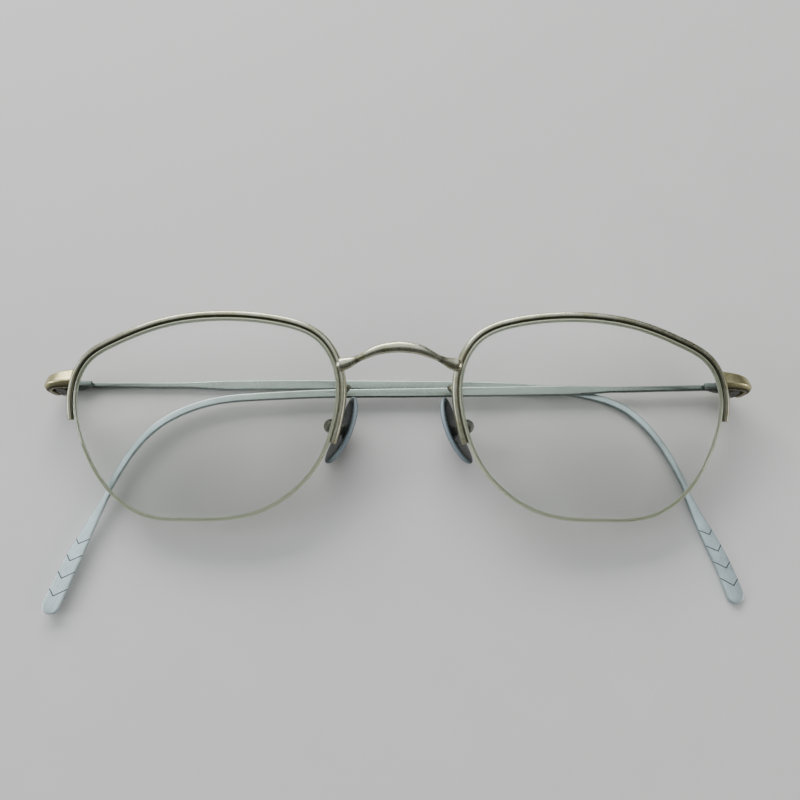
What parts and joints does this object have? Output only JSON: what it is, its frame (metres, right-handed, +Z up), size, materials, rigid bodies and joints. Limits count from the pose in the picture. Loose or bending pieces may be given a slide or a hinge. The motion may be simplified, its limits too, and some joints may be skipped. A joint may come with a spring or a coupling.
{
  "type": "half-rim eyeglasses",
  "caption": "Half-rim wire eyeglasses, folded on their back, with clear rounded lenses on nylon cords, hinged metal temples with flat paddle ends, and rocking nose pads.",
  "frame": {"origin": "middle of the base of the folded object's box, on the surface that it lies on", "axes": "+X towards the side of the right temple's hinge, across the front; +Y up the front towards the bridge, along both temple hinge axes; +Z up from the table, so the lenses' outer faces look up, leaning 15 degrees towards -Y"},
  "size_m": [0.1278, 0.0514, 0.017],
  "materials": {
    "rim_metal": "antique pewter-brass, satin, darker in the recesses",
    "temple_metal": "pale satin silver",
    "screw_steel": "turned, slightly dulled",
    "lens_clear": "clear, polished, coated",
    "nylon": "pale cream translucent monofilament",
    "pad_silicone": "smoky translucent moulding"
  },
  "bodies": {
    "front": {"bridge": "rim_metal", "rim_left": "rim_metal", "rim_right": "rim_metal", "rim_liner_left": "nylon", "rim_liner_right": "nylon", "nylon_cord_left": "nylon", "nylon_cord_right": "nylon", "lens_left": "lens_clear", "lens_right": "lens_clear", "end_piece_left": "rim_metal", "end_piece_right": "rim_metal", "hinge_front_left": "rim_metal", "hinge_front_right": "rim_metal", "hinge_screw_left": "screw_steel", "hinge_screw_right": "screw_steel", "pad_arm_left": "rim_metal", "pad_arm_right": "rim_metal", "pad_box_left": "rim_metal", "pad_box_right": "rim_metal", "pad_screw_left": "screw_steel", "pad_screw_right": "screw_steel"},
    "temple_left": {"temple_left": "temple_metal", "hinge_temple_left": "temple_metal"},
    "temple_right": {"temple_right": "temple_metal", "hinge_temple_right": "temple_metal"},
    "pad_left": {"pad_core_left": "screw_steel", "nose_pad_left": "pad_silicone"},
    "pad_right": {"pad_core_right": "screw_steel", "nose_pad_right": "pad_silicone"}
  },
  "joints": [
    {"name": "temple_left_hinge", "type": "hinge", "parent": "front", "child": "temple_left", "pos_m": [-0.06118, 0.01538, 0.00235], "axis": [0, 1, 0], "range_deg": [0, 92]},
    {"name": "temple_right_hinge", "type": "hinge", "parent": "front", "child": "temple_right", "pos_m": [0.06122, 0.01538, 0.00355], "axis": [0, -1, 0], "range_deg": [0, 92]},
    {"name": "pad_left_rock", "type": "hinge", "parent": "front", "child": "pad_left", "pos_m": [-0.012, 0.00708, 0.00484], "axis": [-0.3548, 0.3867, -0.8512], "range_deg": [-10, 10]},
    {"name": "pad_right_rock", "type": "hinge", "parent": "front", "child": "pad_right", "pos_m": [0.012, 0.00708, 0.00508], "axis": [0.3714, 0.3867, -0.8441], "range_deg": [-10, 10]}
  ]
}
